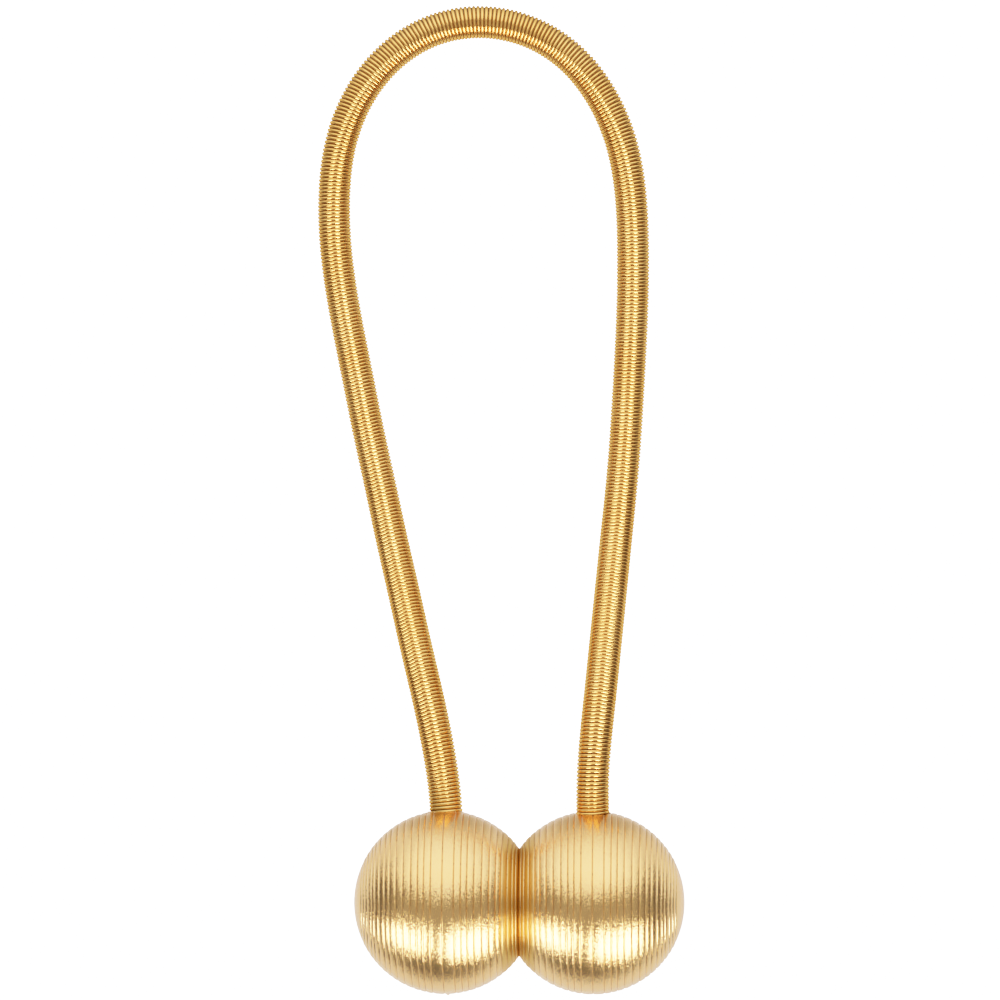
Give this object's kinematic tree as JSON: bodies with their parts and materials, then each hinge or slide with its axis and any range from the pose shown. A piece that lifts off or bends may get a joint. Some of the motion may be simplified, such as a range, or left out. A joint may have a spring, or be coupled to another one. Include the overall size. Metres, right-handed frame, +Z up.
{
  "type": "magnetic curtain tieback",
  "caption": "Curtain tieback: a springy cord of close-wound gold wire, looped between ribbed gold balls that close on hidden disc magnets.",
  "frame": {"origin": "on the table, under the middle of the plane where the closed balls part", "axes": "+X through both balls, +Y from the balls to the far end of the loop, +Z up"},
  "size_m": [0.0711, 0.1901, 0.0346],
  "materials": {
    "satin_gold": "satin gold metallic coat with a fine sparkle",
    "gold_wire": "bright drawn round wire, gold plated",
    "nickel_plate": "nickel plate with soft bevelled edges"
  },
  "bodies": {
    "root": {"ball_left": "satin_gold", "ball_right": "satin_gold", "magnet_left": "nickel_plate", "magnet_right": "nickel_plate", "loop_cord": "gold_wire"}
  },
  "joints": []
}
